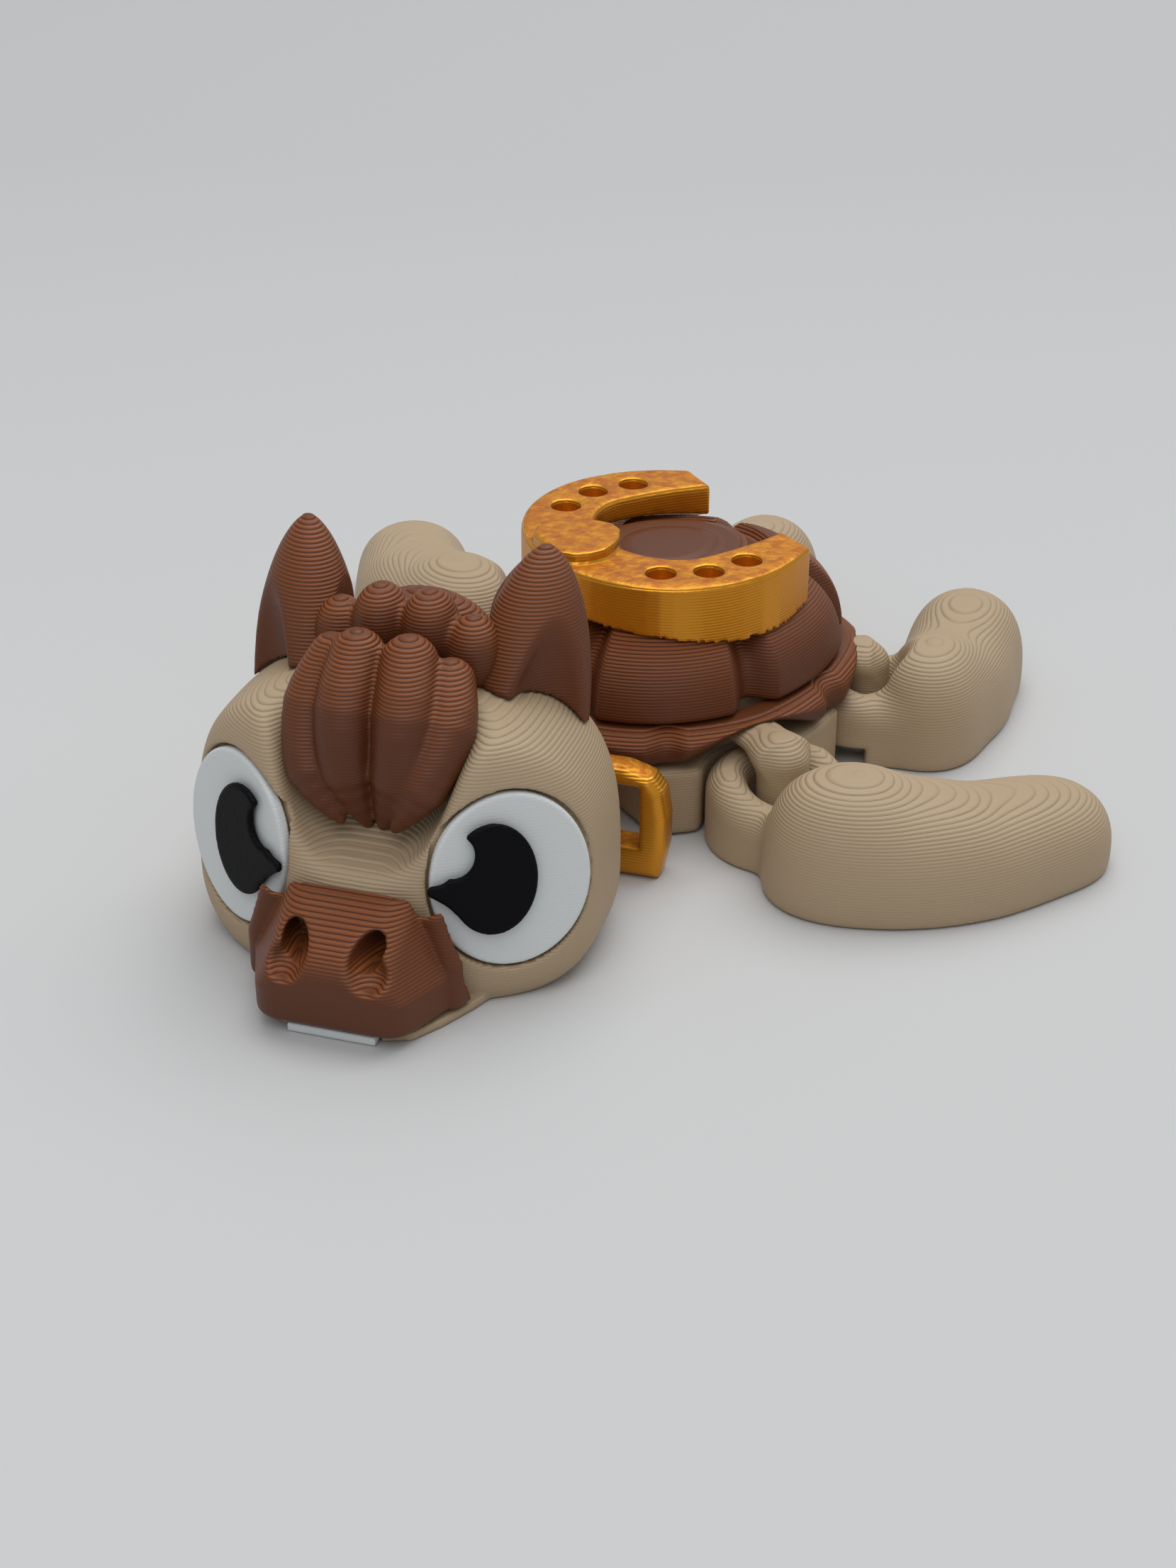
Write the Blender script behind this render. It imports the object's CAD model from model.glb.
"""Horse-headed turtle fidget toy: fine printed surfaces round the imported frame.

Every piece is a distance field in millimetres, skinned by OpenVDB, that replaces one CAD node and rides on
its body.  Shapes that turn with a joint are described in the joint's own frame, straight ahead, and then
turned to the rest pose.
"""
from math import radians, sin, cos

import bpy
import numpy as np
import openvdb as vdb
from mathutils import Matrix, Vector


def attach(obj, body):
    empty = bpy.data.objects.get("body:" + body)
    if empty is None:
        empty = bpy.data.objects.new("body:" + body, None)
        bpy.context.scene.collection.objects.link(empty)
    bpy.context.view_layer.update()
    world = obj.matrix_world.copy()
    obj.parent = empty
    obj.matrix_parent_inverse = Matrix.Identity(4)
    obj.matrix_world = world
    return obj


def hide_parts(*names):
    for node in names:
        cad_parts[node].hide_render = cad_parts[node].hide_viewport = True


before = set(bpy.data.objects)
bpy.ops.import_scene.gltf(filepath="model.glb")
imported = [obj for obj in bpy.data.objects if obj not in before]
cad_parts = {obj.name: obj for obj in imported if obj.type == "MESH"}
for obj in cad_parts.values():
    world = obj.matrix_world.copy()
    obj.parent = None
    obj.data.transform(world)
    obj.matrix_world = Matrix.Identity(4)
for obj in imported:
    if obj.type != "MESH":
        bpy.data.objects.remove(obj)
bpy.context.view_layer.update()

MM = 0.001
LAYER = 0.2                   # height of one printed layer
VOXEL = 0.16
KEPT_SHARE = 0.62             # of the triangles that the voxels give

# ---- the same driving sizes as the CAD ---------------------------------------------------------
BODY_HALF_WIDTH = 12.4
BODY_HALF_LENGTH = 13.95
BODY_CENTRE_Y = -0.75
BODY_TAPER = 0.12
BASE_SCALE = 0.955
CORE_SCALE = 0.72
RIM_LOW = 4.8
RIM_TOP = 8.2
RIM_EDGE = 7.6                # where the dome meets the rim outside
DOME_SCALE = 0.9
DOME_CENTRE_Z = 6.8
DOME_TOP = 15.1
DOME_FULLNESS = 2.6           # 2 is an elliptic profile, more is squarer
NECK_WALL_Y = -8.3
NECK = (0.0, -13.45)
FRONT_POST = (14.6, -1.0)
REAR_POST = (5.6, 11.6)
POST_RADIUS = 1.65
RING_INNER = 2.15
RING_UNDERSIDE = 1.4
FOOT_BAR = 1.0
LOOP_TOP = 7.1
POCKET_RADIUS = 5.1
POCKET_ROOF = 7.35
HEAD_TURN = 43.4
FRONT_LEFT_TURN = 5.0
FRONT_RIGHT_TURN = 60.0
REAR_LEFT_TURN = 54.0
REAR_RIGHT_TURN = 22.0
SHOE_TOP = 16.4
SHOE_MIDDLE_Z = 12.9
SHOE_Y = -1.4
SHOE_HOLES = ((6.2, -5.2), (7.45, -2.4), (7.2, 0.6))
HOLE_RADIUS = 0.95
CLIP_RISE = 0.8
SKULL_CENTRE = (0.0, -17.8, 5.0)
SKULL_RADII = (12.6, 8.9, 12.2)
SKULL_UNDER = 6.6             # the ball's radius below its middle
SKULL_FULLNESS = 3.0          # 2 is an ellipse, more is squarer
EYE = (8.05, -22.5, 7.8)
EYE_OUTWARD = radians(31.5)
EYE_LEAN = radians(4.5)
EYE_HALF = (4.7, 5.45)
PUPIL_HALF = (2.6, 3.5)
HARNESS_Y = -7.5
HARNESS_HALF = 13.2
HARNESS_HEIGHT = 7.7
HARNESS_DEPTH = 2.2
HARNESS_BAR = 1.4
EAR_FOOT_Z = 9.0
EAR_RISE = 15.2
EAR_FACING = radians(42)
GAP = 0.1                     # air between two colours of the head
FAR = 99.0                    # a distance that any shape is nearer than


# ================================================================================================
# Distance fields
# ================================================================================================
def smin(a, b, soft):
    """Union with a fillet."""
    blend = np.maximum(soft - np.abs(a - b), 0) / soft
    return np.minimum(a, b) - blend * blend * soft * 0.25


def smax(a, b, soft):
    """Intersection with a rounded edge."""
    return -smin(-a, -b, soft)


def turned(x, y, centre, angle):
    dx, dy = x - centre[0], y - centre[1]
    return dx * cos(angle) + dy * sin(angle), dy * cos(angle) - dx * sin(angle)


def ellipsoid(x, y, z, centre, radii, angle=0.0):
    dx, dy = turned(x, y, centre, angle)
    dz = z - centre[2]
    near = np.sqrt((dx / radii[0]) ** 2 + (dy / radii[1]) ** 2 + (dz / radii[2]) ** 2)
    steep = np.sqrt((dx / radii[0] ** 2) ** 2 + (dy / radii[1] ** 2) ** 2 + (dz / radii[2] ** 2) ** 2)
    return near * (near - 1) / np.maximum(steep, 1e-6)


def capsule(x, y, z, start, end, r_start, r_end):
    """A rod with round ends whose radius changes evenly."""
    a, b = np.array(start, float), np.array(end, float)
    way = b - a
    t = ((x - a[0]) * way[0] + (y - a[1]) * way[1] + (z - a[2]) * way[2]) / float(way @ way)
    t = np.clip(t, 0, 1)
    off = np.sqrt((x - a[0] - t * way[0]) ** 2 + (y - a[1] - t * way[1]) ** 2 + (z - a[2] - t * way[2]) ** 2)
    return off - (r_start + (r_end - r_start) * t)


def lump(x, y, z, centre, radius, height, power=2.5, waist=1.2):
    """A round-topped column that stands on the table and curves in a little at its foot."""
    across = np.hypot(x - centre[0], y - centre[1]) / radius
    up = np.where(z > waist, (z - waist) / (height - waist), (waist - z) / 3.4)
    return ((across ** power + np.abs(up) ** power) ** (1 / power) - 1) * min(radius, height - waist)


def slab(x, y, z, low, high, soft=0.3):
    d = np.maximum(np.abs(x - (low[0] + high[0]) / 2) - (high[0] - low[0]) / 2,
                   np.abs(y - (low[1] + high[1]) / 2) - (high[1] - low[1]) / 2)
    return smax(d, np.abs(z - (low[2] + high[2]) / 2) - (high[2] - low[2]) / 2, soft)


def polygon(x, y, points):
    """Signed distance to a flat outline."""
    points = np.array(points, float)
    best = np.full(np.broadcast(x, y).shape, 1e9)
    inside = np.zeros(best.shape, bool)
    for a, b in zip(points, np.roll(points, -1, axis=0)):
        way = b - a
        t = np.clip(((x - a[0]) * way[0] + (y - a[1]) * way[1]) / max(1e-9, way @ way), 0, 1)
        best = np.minimum(best, (x - a[0] - t * way[0]) ** 2 + (y - a[1] - t * way[1]) ** 2)
        if abs(way[1]) > 1e-12:
            crosses = (y >= min(a[1], b[1])) & (y < max(a[1], b[1]))
            inside ^= crosses & (x < a[0] + (y - a[1]) / way[1] * way[0])
    return np.where(inside, -1, 1) * np.sqrt(best)


def rounded(points, passes=2):
    """Corner-cutting: an outline's few points as a smooth curve."""
    points = np.array(points, float)
    for _ in range(passes):
        after = np.roll(points, -1, axis=0)
        points = np.stack([points * 0.75 + after * 0.25, points * 0.25 + after * 0.75], 1).reshape(-1, 2)
    return points


def egg(x, y):
    """The body's outline: share of the way from the centre to it, and the angle in degrees."""
    angle = np.arctan2((y - BODY_CENTRE_Y) / BODY_HALF_LENGTH, x / BODY_HALF_WIDTH)
    for _ in range(4):
        narrow = 1 - BODY_TAPER * np.sin(angle)
        angle = np.arctan2((y - BODY_CENTRE_Y) / BODY_HALF_LENGTH, x / (BODY_HALF_WIDTH * narrow))
    narrow = 1 - BODY_TAPER * np.sin(angle)
    share = np.hypot(x / (BODY_HALF_WIDTH * narrow), (y - BODY_CENTRE_Y) / BODY_HALF_LENGTH)
    return share, np.degrees(angle)


def furrow(angle, middles, half):
    """1 in the middle of a furrow, falling to 0 at its edges."""
    depth = 0
    for middle in middles:
        off = np.abs((angle - middle + 180) % 360 - 180) / half
        depth = np.maximum(depth, np.clip(1 - off ** 2, 0, 1) ** 2)
    return depth


# ================================================================================================
# Skins
# ================================================================================================
def skin(node, body, field, low, high, finish, pose=None, terraces=True, voxel=None):
    """The surface of a field, as a piece that replaces a CAD node."""
    step = voxel or VOXEL
    low, high = np.array(low, float) - 2 * step, np.array(high, float) + 2 * step
    counts = np.ceil((high - low) / step).astype(int) + 1
    x, y, z = np.meshgrid(*(low[i] + step * np.arange(counts[i]) for i in range(3)), indexing='ij', sparse=True)
    values = np.broadcast_to(field(x, y, z), counts).astype(np.float32)
    grid = vdb.FloatGrid(1.0)
    grid.copyFromArray(np.ascontiguousarray(values))
    points, quads = grid.convertToQuads(0.0)
    points = (low + np.asarray(points, float) * step) * MM
    if pose is not None:
        points = points @ np.array(pose.to_3x3()).T + np.array(pose.translation)
    mesh = bpy.data.meshes.new(node)
    mesh.from_pydata(points.tolist(), [], np.asarray(quads).tolist())
    mesh.validate()
    outward(mesh)
    if terraces:
        terrace(mesh)
    mesh = thinned(mesh)
    mesh.shade_smooth()
    mesh.materials.append(finish)
    piece = bpy.data.objects.new(node + "_print", mesh)
    bpy.context.scene.collection.objects.link(piece)
    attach(piece, body)
    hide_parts(node)
    return piece


def thinned(mesh):
    """The same surface with fewer triangles where it is flat or smooth."""
    dense = bpy.data.objects.new("dense", mesh)
    bpy.context.scene.collection.objects.link(dense)
    dense.modifiers.new("thin", 'DECIMATE').ratio = KEPT_SHARE
    bpy.context.view_layer.update()
    result = bpy.data.meshes.new_from_object(dense.evaluated_get(bpy.context.evaluated_depsgraph_get()))
    result.name = mesh.name
    bpy.data.objects.remove(dense, do_unlink=True)
    return result


def outward(mesh):
    """Turn the faces outwards if they enclose a negative volume."""
    points = np.empty(len(mesh.vertices) * 3)
    mesh.vertices.foreach_get("co", points)
    points = points.reshape(-1, 3)
    corners = np.array([p.vertices[:3] for p in mesh.polygons])
    a, b, c = (points[corners[:, i]] for i in range(3))
    if np.einsum('ij,ij->i', a - points.mean(0), np.cross(b - points.mean(0), c - points.mean(0))).sum() < 0:
        mesh.flip_normals()


def terrace(mesh):
    """Shallow slopes of a print are steps: flat treads a layer apart."""
    points = np.empty(len(mesh.vertices) * 3)
    normals = np.empty(len(mesh.vertices) * 3)
    mesh.vertices.foreach_get("co", points)
    mesh.vertices.foreach_get("normal", normals)
    points, normals = points.reshape(-1, 3), normals.reshape(-1, 3)
    level = points[:, 2] / (LAYER * MM)
    part = level - np.floor(level)
    tread = np.where(part < 0.25, part * 2, np.where(part > 0.75, 0.5 + (part - 0.75) * 2, 0.5))
    shallow = np.clip((normals[:, 2] - 0.80) / 0.12, 0, 1)
    points[:, 2] += shallow * (np.floor(level) + tread - level) * LAYER * MM
    mesh.vertices.foreach_set("co", points.ravel())
    mesh.update()


def mirrored(post):
    """The same post on the body's right."""
    return -post[0], post[1]


def joint_frame(post, turn):
    return Matrix.Translation((post[0] * MM, post[1] * MM, 0)) @ Matrix.Rotation(radians(turn), 4, 'Z')


# ================================================================================================
# Materials
# ================================================================================================
def node_tree(name):
    mat = bpy.data.materials.new(name)
    mat.use_nodes = True
    tree = mat.node_tree
    return mat, tree, tree.nodes["Principled BSDF"]


def math(tree, operation, a, b=None, c=None, clamp=False):
    node = tree.nodes.new("ShaderNodeMath")
    node.operation = operation
    node.use_clamp = clamp
    for socket, value in zip(node.inputs, (a, b, c)):
        if value is None:
            continue
        if isinstance(value, (int, float)):
            socket.default_value = value
        else:
            tree.links.new(value, socket)
    return node.outputs[0]


def mix(tree, share, a, b):
    node = tree.nodes.new("ShaderNodeMix")
    node.data_type = 'RGBA'
    for socket, value in ((node.inputs[0], share), (node.inputs[6], a), (node.inputs[7], b)):
        if isinstance(value, (tuple, int, float)):
            socket.default_value = value
        else:
            tree.links.new(value, socket)
    return node.outputs[2]


def noise(tree, scale, detail=3.0, stretch=(1, 1, 1), coords=None):
    coords = coords or tree.nodes.new("ShaderNodeTexCoord").outputs["Object"]
    mapping = tree.nodes.new("ShaderNodeMapping")
    mapping.inputs["Scale"].default_value = stretch
    tree.links.new(coords, mapping.inputs["Vector"])
    node = tree.nodes.new("ShaderNodeTexNoise")
    node.inputs["Scale"].default_value = scale
    node.inputs["Detail"].default_value = detail
    tree.links.new(mapping.outputs[0], node.inputs["Vector"])
    return node.outputs["Fac"]


def printed(name, base, edge, groove, roughness, metallic=0.0, ridges=1.0, mottle=0.0, mottle_colour=None,
            specular=0.5, grit=0.012):
    """Filament print: layer ridges by height, darker between layers, warmer where an edge catches the light."""
    mat, tree, shader = node_tree(name)
    coords = tree.nodes.new("ShaderNodeTexCoord").outputs["Object"]
    split = tree.nodes.new("ShaderNodeSeparateXYZ")
    tree.links.new(coords, split.inputs[0])
    wobble = math(tree, 'MULTIPLY', math(tree, 'SUBTRACT', noise(tree, 320.0, 2.0, coords=coords), 0.5), 0.14)
    level = math(tree, 'ADD', math(tree, 'DIVIDE', split.outputs[2], LAYER * MM), wobble)
    part = math(tree, 'FRACT', level)
    bulge = math(tree, 'SUBTRACT', 1.0,
                 math(tree, 'POWER', math(tree, 'ABSOLUTE', math(tree, 'MULTIPLY_ADD', part, 2.0, -1.0)), 2.4))
    normal = tree.nodes.new("ShaderNodeNewGeometry").outputs["Normal"]
    lie = tree.nodes.new("ShaderNodeSeparateXYZ")
    tree.links.new(normal, lie.inputs[0])
    slope = math(tree, 'MAXIMUM', lie.outputs[2], 0.0)
    middle = math(tree, 'MULTIPLY', math(tree, 'MULTIPLY', math(tree, 'POWER', slope, 3.0),
                                         math(tree, 'SUBTRACT', 1.0, slope)), 9.5)
    tone = noise(tree, 90.0, 4.0, coords=coords)
    body = mix(tree, math(tree, 'MULTIPLY', tone, 0.35), base, edge)
    lit = mix(tree, math(tree, 'MULTIPLY', math(tree, 'MULTIPLY', bulge, middle), 0.75 * ridges, clamp=True),
              body, edge)
    gap = math(tree, 'MULTIPLY', math(tree, 'POWER', math(tree, 'SUBTRACT', 1.0, bulge), 2.0),
               math(tree, 'MULTIPLY_ADD', middle, 0.8, 0.06), clamp=True)
    colour = mix(tree, math(tree, 'MULTIPLY', gap, ridges), lit, groove)
    if mottle:
        blotch = noise(tree, 1300.0, 6.0, coords=coords)
        flat = math(tree, 'GREATER_THAN', lie.outputs[2], 0.8)
        share = math(tree, 'MULTIPLY', math(tree, 'MULTIPLY_ADD', blotch, 4.5, -1.75, clamp=True), flat)
        colour = mix(tree, math(tree, 'MULTIPLY', share, mottle), colour, mottle_colour)
        rough = math(tree, 'MULTIPLY_ADD', flat, 0.22, roughness)
        tree.links.new(rough, shader.inputs["Roughness"])
    else:
        rough = math(tree, 'MULTIPLY_ADD', tone, 0.16, roughness - 0.08)
        tree.links.new(rough, shader.inputs["Roughness"])
    tree.links.new(colour, shader.inputs["Base Color"])
    shader.inputs["Metallic"].default_value = metallic
    shader.inputs["Specular IOR Level"].default_value = specular
    saw = math(tree, 'MULTIPLY', math(tree, 'SUBTRACT', 0.5, math(tree, 'ABSOLUTE', math(tree, 'SUBTRACT', part, 0.5))),
               slope)
    height = math(tree, 'MULTIPLY_ADD', saw, 0.12 * ridges, math(tree, 'MULTIPLY', bulge, 0.014 * ridges))
    grain = noise(tree, 2600.0, 3.0, stretch=(1, 1, 2.5), coords=coords)
    height = math(tree, 'MULTIPLY_ADD', grain, grit, height)
    if mottle:
        pits = math(tree, 'MULTIPLY', noise(tree, 1500.0, 4.0, coords=coords), flat)
        height = math(tree, 'MULTIPLY_ADD', pits, 0.12, height)
    bump = tree.nodes.new("ShaderNodeBump")
    bump.inputs["Strength"].default_value = 1.0
    bump.inputs["Distance"].default_value = MM
    tree.links.new(height, bump.inputs["Height"])
    tree.links.new(bump.outputs[0], shader.inputs["Normal"])
    return mat


TAN = printed("tan_print", (0.415, 0.305, 0.19, 1), (0.47, 0.36, 0.235, 1), (0.21, 0.140, 0.078, 1), 0.55, ridges=0.7,
              specular=0.35)
BROWN = printed("brown_print", (0.082, 0.024, 0.009, 1), (0.30, 0.082, 0.018, 1), (0.018, 0.006, 0.003, 1), 0.45,
                specular=0.32)
GOLD = printed("gold_print", (0.60, 0.225, 0.010, 1), (0.88, 0.44, 0.04, 1), (0.30, 0.09, 0.006, 1), 0.25,
               metallic=0.7, ridges=0.7, grit=0.004, mottle=0.8, mottle_colour=(0.46, 0.125, 0.015, 1))
WHITE = printed("white_print", (0.66, 0.685, 0.69, 1), (0.72, 0.74, 0.74, 1), (0.46, 0.48, 0.50, 1), 0.5, ridges=0.2,
                specular=0.35)
BLACK = printed("black_print", (0.004, 0.004, 0.005, 1), (0.008, 0.008, 0.009, 1), (0.002, 0.002, 0.002, 1), 0.38,
                specular=0.06, ridges=0.5)


# ================================================================================================
# Body
# ================================================================================================
def posts():
    for side, word in ((1, "left"), (-1, "right")):
        yield "front_" + word, (side * FRONT_POST[0], FRONT_POST[1]), (side, 0.0)
        away = Vector((side * REAR_POST[0], REAR_POST[1] - 2)).normalized()
        yield "rear_" + word, (side * REAR_POST[0], REAR_POST[1]), (away.x, away.y)
    yield "neck", NECK, (0.0, -1.0)


def body_base():
    def field(x, y, z):
        share, _ = egg(x, y)
        wall = (share - BASE_SCALE) * 12
        low = smax(wall, np.abs(z - RIM_LOW / 2) - RIM_LOW / 2 + 0.1, 0.3)
        core = smax((share - CORE_SCALE) * 12, np.abs(z - RIM_TOP / 2) - RIM_TOP / 2 + 0.1, 0.3)
        d = np.minimum(low, core)
        for word, post, _ in posts():
            if word != "neck":
                pocket = smax(np.hypot(x - post[0], y - post[1]) - POCKET_RADIUS, z - POCKET_ROOF, 1.2)
                d = smax(d, -pocket, 0.5)
        return smax(d, -smax(y - NECK_WALL_Y, z - POCKET_ROOF, 1.0), 0.5)
    skin("body_base", "body", field, (-12.5, -9, 0), (12.5, 14, RIM_TOP), TAN, terraces=False, voxel=VOXEL * 1.5)


def body_loop(word, post, away):
    reach = POCKET_RADIUS - 0.15 if word != "neck" else NECK_WALL_Y - NECK[1] - 0.15

    def field(x, y, z):
        out = x * away[0] + y * away[1] - (post[0] * away[0] + post[1] * away[1])
        side = (x - post[0]) * -away[1] + (y - post[1]) * away[0]
        head = np.maximum(z - (LOOP_TOP - 1.5), 0) * POST_RADIUS / 1.5
        stem = np.maximum(np.sqrt(out ** 2 + side ** 2 + head ** 2) - POST_RADIUS, -z)
        arm = (np.hypot(side / 1.7, (z - LOOP_TOP + 0.9) / 0.85) - 1) * 0.85
        arm = smax(arm, np.maximum(out, -reach - out), 0.2)
        foot = smax(np.abs(side) - 0.95, np.abs(z - FOOT_BAR / 2) - FOOT_BAR / 2, 0.3)
        foot = smax(foot, np.maximum(out, -reach - out), 0.2)
        return smin(smin(stem, arm, 1.2), foot, 0.3)
    centre = Vector(post)
    low = (centre.x - 5.3, centre.y - 5.3, 0)
    high = (centre.x + 5.3, centre.y + 5.3, LOOP_TOP)
    skin("body_loop_" + word, "body", field, low, high, TAN)


RIM_ARCHES = ((-90, 62, 2.2, 0.6), (-2, 29, 2.1, 0.7), (182, 29, 2.1, 0.7), (62, 26, 2.1, 0.7), (118, 26, 2.1, 0.7))


def shell_rim():
    """The brown band under the dome: it arches over the neck and every flipper joint."""
    def field(x, y, z):
        share, angle = egg(x, y)
        low = np.full(share.shape, RIM_LOW)
        for middle, half, rise, bow in RIM_ARCHES:
            off = np.abs((angle - middle + 180) % 360 - 180) / half
            low = np.maximum(low, RIM_LOW + rise * (0.5 + 0.5 * np.cos(np.pi * np.clip(off, 0, 1))) ** bow)
        dent = furrow(angle, (-150, -90, -30, 30, 90, 150), 7)
        middle_z = (RIM_EDGE + low) / 2
        half_z = (RIM_EDGE - low) / 2
        up = np.clip((z - low) / np.maximum(RIM_EDGE - low, 0.1), 0, 1)
        outer = 1.0 - 0.05 * dent - 0.05 * np.clip((up - 0.3) / 0.7, 0, 1) ** 2
        across = smax((share - outer) * 12.2, (0.76 - share) * 12.2, 0.4)
        return smax(across, np.abs(z - middle_z) - half_z, 1.4)
    skin("shell_rim", "body", field, (-13, -15, RIM_LOW), (13, 13.5, RIM_TOP), BROWN)


def dome_field(x, y, z, grow=0.0):
    share, _ = egg(x, y)
    up = np.abs(z - DOME_CENTRE_Z) / (DOME_TOP - DOME_CENTRE_Z + grow)
    near = ((share / (DOME_SCALE + grow / 12)) ** DOME_FULLNESS + up ** DOME_FULLNESS) ** (1 / DOME_FULLNESS)
    return (near - 1) * 9.0


def shell_dome():
    """One round plate on top and six round it, with furrows between."""
    def field(x, y, z):
        share, angle = egg(x, y)
        ring = np.clip(1 - ((share / DOME_SCALE - 0.5) / 0.07) ** 2, 0, 1)
        spokes = furrow(angle, (0, 60, 120, 180, -60, -120), 9) * np.clip((share / DOME_SCALE - 0.45) * 12, 0, 1)
        d = dome_field(x, y, z) + 1.25 * np.maximum(ring * 0.7, spokes)
        return smax(d, RIM_EDGE + 0.1 - z, 0.4)
    skin("shell_dome", "body", field, (-11.8, -13.8, RIM_EDGE), (11.5, 12, DOME_TOP), BROWN)


def shoe_points():
    outer = [(9.9 * cos(a), SHOE_Y + 9.1 * sin(a)) for a in (radians(-90 + 90 * i / 16) for i in range(17))]
    inner = [(5.3 * cos(a), SHOE_Y + 4.1 * sin(a)) for a in (radians(-90 * i / 12) for i in range(13))]
    half = outer + [(9.75, 0.4), (9.4, 1.8), (8.7, 3.4), (7.5, 5.3), (4.4, 5.1), (4.95, 2.6), (5.2, 0.6)] + inner
    return half + [(-px, py) for px, py in reversed(half)]


def horseshoe():
    clip_half = [(0, -10.3), (2.4, -10.0), (3.1, -7.8), (2.0, -5.8), (0, -4.5)]
    clip_points = rounded(clip_half + [(-px, py) for px, py in reversed(clip_half[1:-1])], 1)

    def field(x, y, z):
        flat = polygon(x, y, shoe_points())
        body = smax(flat, np.abs(z - SHOE_MIDDLE_Z) - (SHOE_TOP - SHOE_MIDDLE_Z), 0.5)
        clip = smax(polygon(x, y, clip_points), np.abs(z - 15) - (SHOE_TOP + CLIP_RISE - 15), 0.25)
        d = np.minimum(body, clip)
        for hx, hy in SHOE_HOLES:
            for side in (1, -1):
                hole = np.hypot(x - side * hx, y - hy) - HOLE_RADIUS
                d = smax(d, -np.maximum(hole, SHOE_TOP - 1.5 - z), 0.25)
        return np.maximum(d, -dome_field(x, y, z, 0.15))
    skin("horseshoe", "body", field, (-10, -11, 9.5), (10, 5.8, SHOE_TOP + CLIP_RISE), GOLD, terraces=False)


# ================================================================================================
# Flippers
# ================================================================================================
FRONT_LOBES = (((6.7, -1.0), 4.6, 8.0), ((9.6, 2.6), 4.7, 6.6), ((11.2, 7.0), 4.4, 5.7), ((11.6, 12.2), 4.1, 5.2))
REAR_LOBES = (((4.2, -1.3), 3.8, 7.5), ((6.1, 3.6), 4.1, 6.3), ((7.1, 8.9), 4.1, 6.9))
FRONT_CLEAR = 4.0             # the paddles keep this far from their posts
REAR_CLEAR = 2.7


def eyelet(u, v, z, foot=-9.0):
    """A rounded ring about the post, raised on the body's side over the loop's foot."""
    radial = np.hypot(u, v)
    crest = np.clip(5.2 - 0.35 * np.maximum(u + 1.0, 0), 3.6, 5.2)
    across = np.abs(radial - 3.5) - 1.38
    ring = smax(across, z - crest, 1.9)
    ring = np.maximum(ring, RING_INNER - radial)
    return smax(ring, -np.maximum(np.maximum(u - 0.3, foot - v), z - RING_UNDERSIDE), 0.4)


def flipper(name, lobes, clear, side, post, turn, foot=-9.0):
    def field(x, y, z):
        u, v = side * x, y
        paddle = FAR
        for centre, radius, height in lobes:
            paddle = smin(paddle, lump(u, v, z, centre, radius, height), 3.4)
        paddle = smax(paddle, clear - np.hypot(u, v), 0.9)
        whole = smin(paddle, eyelet(u, v, z, foot), 1.3)
        whole = np.maximum(whole, RING_INNER - np.hypot(u, v))
        return smax(whole, -z, 0.3)
    low = (-5, -6.5, 0) if side > 0 else (-17, -6.5, 0)
    high = (17, 17, 8.2) if side > 0 else (5, 17, 8.2)
    skin(name, name, field, low, high, TAN, pose=joint_frame(post, turn))


# ================================================================================================
# Head, in the neck joint's frame: -Y is forward
# ================================================================================================
NECK_FRAME = joint_frame(NECK, HEAD_TURN)


def skull_field(x, y, z, grow=0.0):
    """A ball that is squarer than an ellipsoid, and tucked in below its middle."""
    wide, deep, tall = (r + grow for r in SKULL_RADII)
    dz = z - SKULL_CENTRE[2]
    tall = np.where(dz > 0, tall, SKULL_UNDER + grow)
    near = (np.abs(x / wide) ** SKULL_FULLNESS + np.abs((y - SKULL_CENTRE[1]) / deep) ** SKULL_FULLNESS
            + np.abs(dz / tall) ** SKULL_FULLNESS) ** (1 / SKULL_FULLNESS)
    return (near - 1) * 9.5


def eye_axes(x, y, z, side):
    """Coordinates across, up and out of an eye's plane."""
    out = Vector((side * sin(EYE_OUTWARD), -cos(EYE_OUTWARD), sin(EYE_LEAN))).normalized()
    across = Vector((0, 0, 1)).cross(out).normalized()
    up = out.cross(across)
    dx, dy, dz = x - side * EYE[0], y - EYE[1], z - EYE[2]
    return [dx * v.x + dy * v.y + dz * v.z for v in (across, up, out)]


def oval(across, up, half):
    reach = ((np.abs(across) / half[0]) ** 2.0 + (np.abs(up) / half[1]) ** 2.0) ** (1 / 2.0)
    return (reach - 1) * min(half)


def face_hollow(x, y, z):
    """The air over the nose and in front of the forehead, between the brows."""
    over_nose = (8.3 + (y + 26.05) * 0.28 - z) * 0.96
    before_brow = y + 21.4 - (z - 9.4) * 0.12
    return smax(smax(over_nose, before_brow, 2.5), np.abs(x) - 4.0 - np.maximum(z - 9.5, 0) * 0.32, 3.0)


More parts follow.
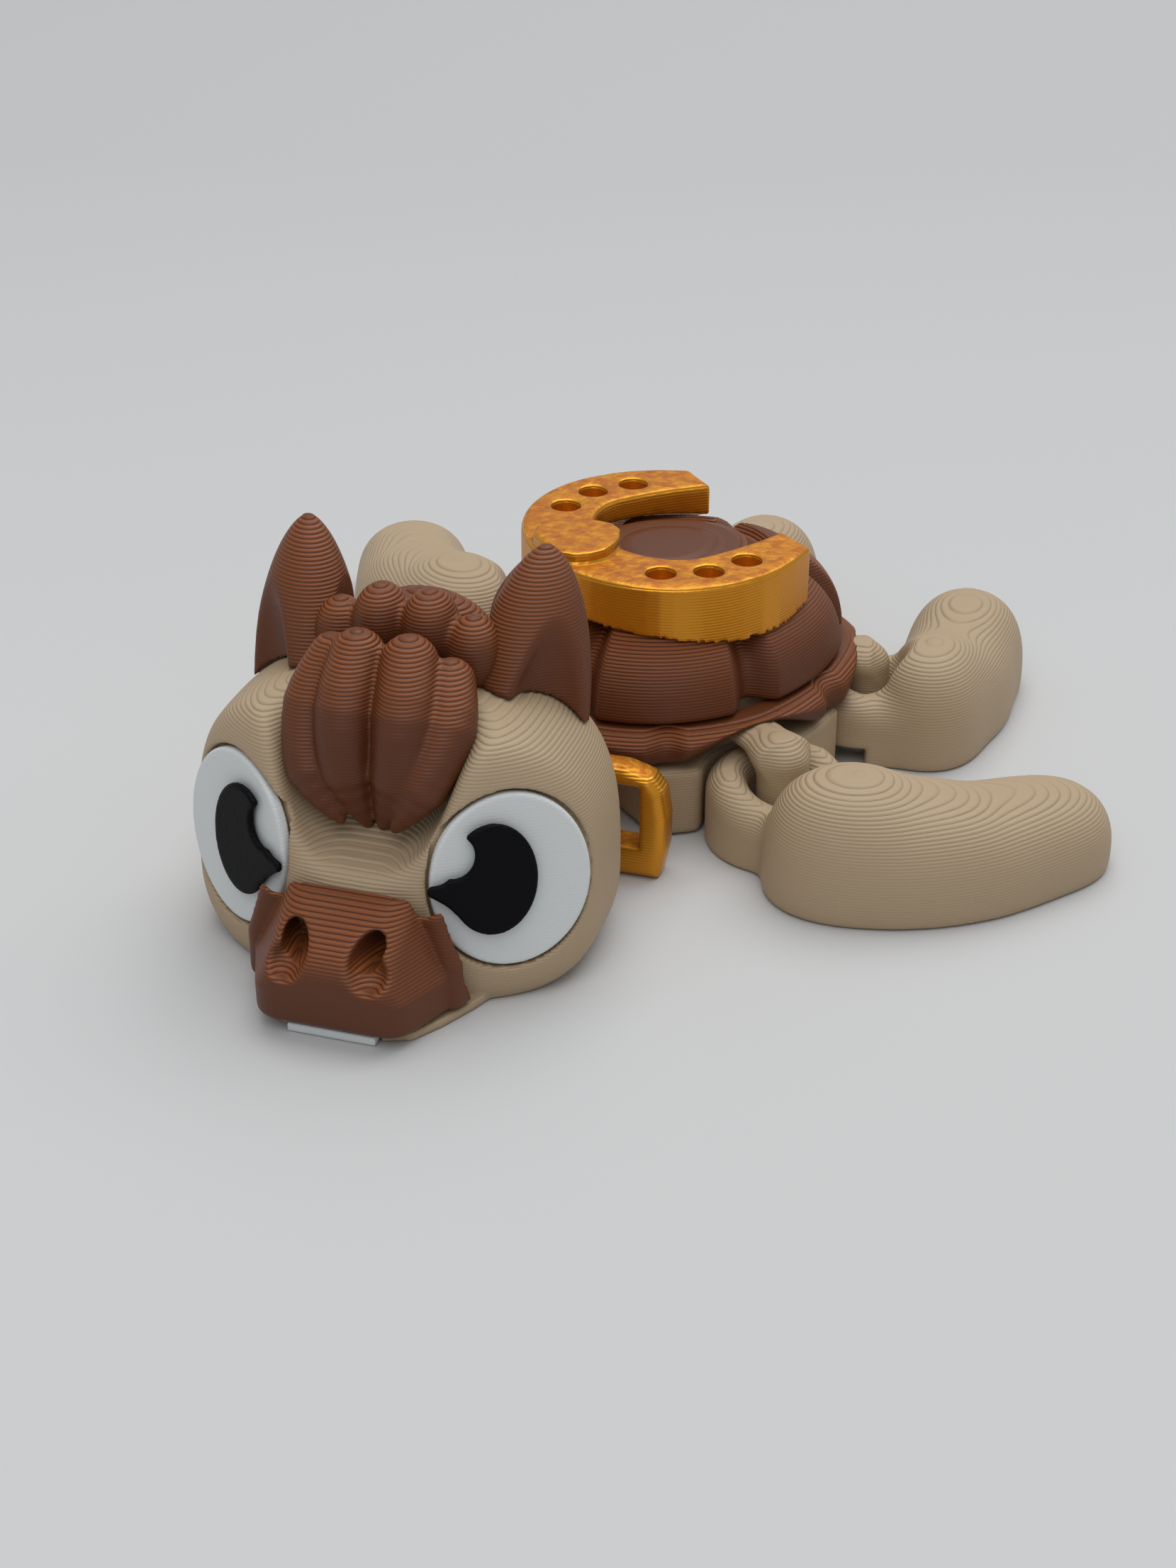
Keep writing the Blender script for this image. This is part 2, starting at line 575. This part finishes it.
def skull():
    jaw = rounded([(3.9, -30.3), (6.4, -26.5), (8.2, -22.0), (6.0, -17.0), (-6.0, -17.0), (-8.2, -22.0),
                   (-6.4, -26.5), (-3.9, -30.3)], 1)

    def field(x, y, z):
        d = skull_field(x, y, z)
        d = smax(d, -face_hollow(x, y, z), 1.5)
        for side in (1, -1):
            across, up, out = eye_axes(x, y, z, side)
            socket = np.maximum(oval(across, up, (EYE_HALF[0] + 0.2, EYE_HALF[1] + 0.2)), -out)
            face = smax(0.95 - out, oval(across, up, (9.0, 9.0)), 1.2)
            d = smax(d, -face, 1.4)
            d = smax(d, -socket, 0.15)
        d = np.minimum(d, smax(polygon(x, y, jaw), z - 0.6, 0.2))
        d = np.maximum(d, -np.maximum(np.abs(x) - 2.85, y + 29.2))
        d = smax(d, y + 9.9, 0.6)
        return np.maximum(d, -z)
    skin("head_skull", "head", field, (-12.6, -31, 0), (12.6, -9.8, 17.4), TAN, pose=NECK_FRAME)


def eyes():
    for side, word in ((1, "left"), (-1, "right")):
        def white(x, y, z, side=side):
            across, up, out = eye_axes(x, y, z, side)
            d = smax(oval(across, up, EYE_HALF), np.abs(out - 0.5) - 0.35, 0.2)
            return np.maximum(d, 0.05 - z)

        def pupil(x, y, z, side=side):
            across, up, out = eye_axes(x, y, z, side)
            d = oval(across + side * 1.1, up - 0.4, PUPIL_HALF)
            corner = capsule(side * across, up, 0.0, (-3.1, -0.3, 0), (-4.6, 0.1, 0), 1.0, 0.35)
            d = smin(d, corner, 0.5)
            glint = oval(across + side * 3.3, up - 2.1, (1.2, 1.35))
            return smax(smax(d, -glint, 0.2), np.abs(out - 1.22) - 0.22, 0.2)
        low = (side * 8.35 - 6, -28, 0)
        high = (side * 8.35 + 6, -17.5, 14.5)
        for node, field, finish in (("eye_white_", white, WHITE), ("pupil_", pupil, BLACK)):
            skin(node + word, "head", field, low, high, finish, pose=NECK_FRAME, terraces=False,
                 voxel=VOXEL * 0.75)


def muzzle():
    """A faceted snout: planes rounded into each other, with two wings under the eyes."""
    def field(x, y, z):
        ax = np.abs(x)
        side_half = 4.2 + (y + 31.2) * 0.42
        front = -(y + 31.0) * 0.98 - (z - 2.0) * 0.12
        brow = -(y + 29.9) * 0.55 + (z - 6.0) * 0.835
        top = z - 8.35
        wall = (ax - side_half + np.maximum(z - 3.0, 0) * 0.5) * 0.87
        under = 0.7 - z
        d = smax(smax(front, brow, 1.6), smax(wall, top, 0.6), 1.0)
        wing = smax(ax - 6.3 - (y + 24) * 0.3 - np.clip(7.3 - z, 0, 3.5) * 0.3, z - 7.4, 0.5)
        wing = smax(wing, -(y + 26.2) - ax * 0.15, 0.8)
        d = np.minimum(d, wing)
        d = smax(d, -capsule(ax, y, z, (4.2, -28.5, 8.2), (4.7, -25.6, 7.0), 0.55, 0.6), 0.3)
        d = smax(d, under, 0.7)
        d = np.maximum(d, y + 21.5)
        for side in (1, -1):
            hole = ellipsoid(x, y, z, (side * 2.2, -29.6, 5.6), (0.8, 3.4, 1.05), side * radians(-12))
            scoop = ellipsoid(x, y, z, (side * 2.5, -31.2, 5.0), (1.05, 1.5, 1.2), side * radians(-30))
            d = smax(d, -smin(hole, scoop, 0.4), 0.3)
            across, up, out = eye_axes(x, y, z, side)
            d = np.maximum(d, -np.maximum(oval(across, up, (EYE_HALF[0] - 0.7, EYE_HALF[1] - 0.7)), -out - 0.1))
        return np.maximum(d, -skull_field(x, y, z, GAP))
    skin("muzzle", "head", field, (-8, -32, 0.5), (8, -21, 8.8), BROWN, pose=NECK_FRAME)


def teeth():
    def field(x, y, z):
        return slab(x, y, z, (-2.7, -30.5, 0), (2.7, -29.35, 0.6), 0.15)
    skin("front_teeth", "head", field, (-2.8, -30.6, 0), (2.8, -29.3, 0.7), WHITE, pose=NECK_FRAME, terraces=False,
         voxel=VOXEL * 0.6)


def strand(x, y, z, points, radii):
    """A lock of mane: tapering rods along a curve through its points."""
    points = np.array(points, float)
    fine = [points[0]]
    for i in range(len(points) - 1):
        before, after = points[max(i - 1, 0)], points[min(i + 2, len(points) - 1)]
        for t in (0.25, 0.5, 0.75, 1.0):
            a, b = points[i], points[i + 1]
            m0, m1 = (b - before) / 2, (after - a) / 2
            fine.append((2 * t ** 3 - 3 * t ** 2 + 1) * a + (t ** 3 - 2 * t ** 2 + t) * m0
                        + (3 * t ** 2 - 2 * t ** 3) * b + (t ** 3 - t ** 2) * m1)
    d = FAR
    sizes = np.interp(np.linspace(0, 1, len(fine)), np.linspace(0, 1, len(radii)), radii)
    for a, b, ra, rb in zip(fine, fine[1:], sizes, sizes[1:]):
        d = np.minimum(d, capsule(x, y, z, a, b, ra, rb))
    return d


FORELOCK = (
    (((1.75, -20.6, 19.4), (2.1, -22.5, 17.0), (1.8, -23.1, 13.6), (0.6, -22.6, 9.9)), (1.7, 1.85, 1.6, 0.4)),
    (((-1.35, -20.6, 19.4), (-1.45, -22.5, 17.0), (-1.3, -23.1, 13.6), (-0.4, -22.6, 9.9)), (1.65, 1.8, 1.6, 0.4)),
    (((4.0, -20.0, 18.3), (4.4, -21.8, 16.3), (3.5, -23.4, 13.3), (1.8, -23.8, 10.5)), (1.4, 1.65, 1.4, 0.35)),
    (((-3.2, -20.0, 19.0), (-4.0, -21.5, 16.5), (-3.6, -23.1, 13.2), (-1.6, -23.7, 10.5)), (1.3, 1.6, 1.4, 0.35)),
)
CROWN = (
    ((-1.5, -16.4, 19.7), (1.7, 2.0, 2.4)), ((1.5, -16.4, 19.7), (1.7, 2.0, 2.4)),
    ((4.2, -16.6, 18.5), (1.7, 1.8, 2.4)), ((-4.2, -16.0, 18.3), (1.7, 1.8, 2.4)),
    ((0, -13.3, 17.5), (4.4, 2.6, 3.0)),
)


def mane():
    def fringe(x, y, z):
        d = FAR
        for points, radii in FORELOCK:
            d = smin(d, strand(x, y, z, points, radii), 0.35)
        d = np.maximum(d, y + 18.4)
        bone = smax(skull_field(x, y, z, GAP), GAP - face_hollow(x, y, z), 1.5)
        return np.maximum(d, -bone)

    def crown(x, y, z):
        d = FAR
        for centre, radii in CROWN:
            d = smin(d, ellipsoid(x, y, z, centre, radii), 0.5)
        d = np.maximum(d, -18.5 - y)
        d = np.maximum(d, np.abs(x) - 6.2)
        return np.maximum(d, -skull_field(x, y, z, GAP))
    skin("forelock", "head", fringe, (-7, -26.5, 9), (7, -18, 22), BROWN, pose=NECK_FRAME)
    skin("crown_mane", "head", crown, (-7, -19, 12), (7, -10.5, 22.6), BROWN, pose=NECK_FRAME)


def ears():
    for side, word in ((1, "left"), (-1, "right")):
        def field(x, y, z, side=side):
            rise = (z - EAR_FOOT_Z) / EAR_RISE
            t = np.clip(rise, 0, 1)
            mx, my = side * (6.4 + 0.95 * t), -17.0 + 4.2 * t
            face = Vector((side * sin(EAR_FACING), -cos(EAR_FACING)))
            edge = Vector((cos(EAR_FACING), side * sin(EAR_FACING)))
            out = (x - mx) * face.x + (y - my) * face.y
            across = (x - mx) * edge.x + (y - my) * edge.y
            width = np.clip(1 - t ** 2.8, 0, 1) ** 0.64
            body = (np.hypot(out / 3.5, across / 4.15) - width) * 3.5
            body = np.maximum(body, (rise - 1) * EAR_RISE)
            t2 = np.clip((z - 10.5) / 12.0, 0, 1)
            width2 = np.clip(1 - t2 ** 1.7, 0, 1) ** 0.8
            hollow = (np.hypot((out - 3.3) / 2.5, across / 3.3) - width2) * 2.5
            d = smax(body, -hollow, 0.45)
            d = np.maximum(d, 4.75 - side * x)
            return np.maximum(d, -skull_field(x, y, z, GAP))
        low = (4.5, -21, 9) if side > 0 else (-12, -21, 9)
        high = (12, -11, 24.5) if side > 0 else (-4.5, -11, 24.5)
        skin("ear_" + word, "head", field, low, high, BROWN, pose=NECK_FRAME)


def head_ring():
    def field(x, y, z):
        d = eyelet(-y, x, z)
        arm = smax(np.abs(x) - 2.4, np.abs(z - 4.05) - 1.15, 0.5)
        arm = np.maximum(arm, np.maximum(y + 3.2, -9.75 - y))
        d = smin(d, arm, 0.5)
        return np.maximum(np.maximum(d, RING_INNER - np.hypot(x, y)), -z)
    skin("head_neck_ring", "head", field, (-5, -10, 0), (5, 5, 6), TAN, pose=NECK_FRAME)


def harness_ring():
    half, tall = HARNESS_HALF, HARNESS_HEIGHT
    right = [(half - 0.1, 0), (half + 0.35, 2.2), (half + 0.4, 4.4), (half + 0.1, 6.2), (half - 0.7, 7.2),
             (half - 2.4, tall)]
    band = right + [(-px, pz) for px, pz in reversed(right)]

    def field(x, y, z):
        flat = polygon(x, z, band)
        d = smax(flat, np.abs(y - HARNESS_Y) - HARNESS_DEPTH / 2, 0.8)
        window = np.maximum(np.abs(x) - (half - HARNESS_BAR), np.abs(z - 4.35) - 2.15)
        return smax(smax(d, -window, 0.35), -z, 0.2)
    skin("neck_ring", "harness", field, (-14.5, -10, 0), (14.5, -6.5, 9), GOLD, pose=NECK_FRAME, terraces=False)


# ================================================================================================
# Surroundings
# ================================================================================================
def studio():
    bpy.ops.mesh.primitive_plane_add(size=6, location=(0, 0, -0.00002))
    floor = bpy.context.object
    floor.name = "floor"
    mat, tree, shader = node_tree("paper")
    tone = noise(tree, 6.0, 4.0)
    paper = mix(tree, tone, (0.545, 0.548, 0.550, 1), (0.570, 0.572, 0.573, 1))
    split = tree.nodes.new("ShaderNodeSeparateXYZ")
    tree.links.new(tree.nodes.new("ShaderNodeTexCoord").outputs["Object"], split.inputs[0])
    away = math(tree, 'MULTIPLY_ADD', split.outputs[0], -6.0, math(tree, 'MULTIPLY', split.outputs[1], 3.5), clamp=True)
    tree.links.new(mix(tree, away, paper, (0.49, 0.495, 0.50, 1)), shader.inputs["Base Color"])
    shader.inputs["Roughness"].default_value = 0.9
    floor.data.materials.append(mat)
    world = bpy.data.worlds.new("studio")
    bpy.context.scene.world = world
    world.use_nodes = True
    background = world.node_tree.nodes["Background"]
    background.inputs["Color"].default_value = (0.96, 0.98, 1.0, 1)
    background.inputs["Strength"].default_value = 0.40
    for name, place, size, power in (("key", (0.30, -0.25, 0.60), 0.5, 1.3), ("top", (-0.15, 0.25, 0.75), 0.8, 4.6)):
        light = bpy.data.lights.new(name, 'AREA')
        light.size = size
        light.energy = power
        lamp = bpy.data.objects.new(name, light)
        lamp.location = place
        lamp.rotation_euler = (Vector((0, 0, 0.01)) - Vector(place)).to_track_quat('-Z', 'Y').to_euler()
        bpy.context.scene.collection.objects.link(lamp)


def camera():
    """A long lens to the front left of the body, 29.4 degrees above the table."""
    turn, dip = radians(60.6), radians(29.4)
    forward = Vector((-sin(turn) * cos(dip), cos(turn) * cos(dip), -sin(dip)))
    across = Vector((cos(turn), sin(turn), 0))
    lens = bpy.data.cameras.new("camera")
    lens.lens = 58.59
    lens.clip_start = 0.005
    eye = bpy.data.objects.new("camera", lens)
    turned_to = Matrix((across, across.cross(forward), -forward)).transposed().to_4x4()
    eye.matrix_world = Matrix.Translation((0.13217, -0.08147, 0.08396)) @ turned_to
    bpy.context.scene.collection.objects.link(eye)
    bpy.context.scene.camera = eye
    bpy.context.scene.view_settings.view_transform = 'Standard'


def build():
    studio()
    camera()
    body_base()
    for word, post, away in posts():
        body_loop(word, post, away)
    shell_rim()
    shell_dome()
    horseshoe()
    flipper("flipper_front_left", FRONT_LOBES, FRONT_CLEAR, 1, FRONT_POST, FRONT_LEFT_TURN, foot=-2.9)
    flipper("flipper_front_right", FRONT_LOBES, FRONT_CLEAR, -1, mirrored(FRONT_POST), FRONT_RIGHT_TURN)
    flipper("flipper_rear_left", REAR_LOBES, REAR_CLEAR, 1, REAR_POST, REAR_LEFT_TURN)
    flipper("flipper_rear_right", REAR_LOBES, REAR_CLEAR, -1, mirrored(REAR_POST), REAR_RIGHT_TURN)
    skull()
    eyes()
    muzzle()
    teeth()
    mane()
    ears()
    head_ring()
    harness_ring()


build()
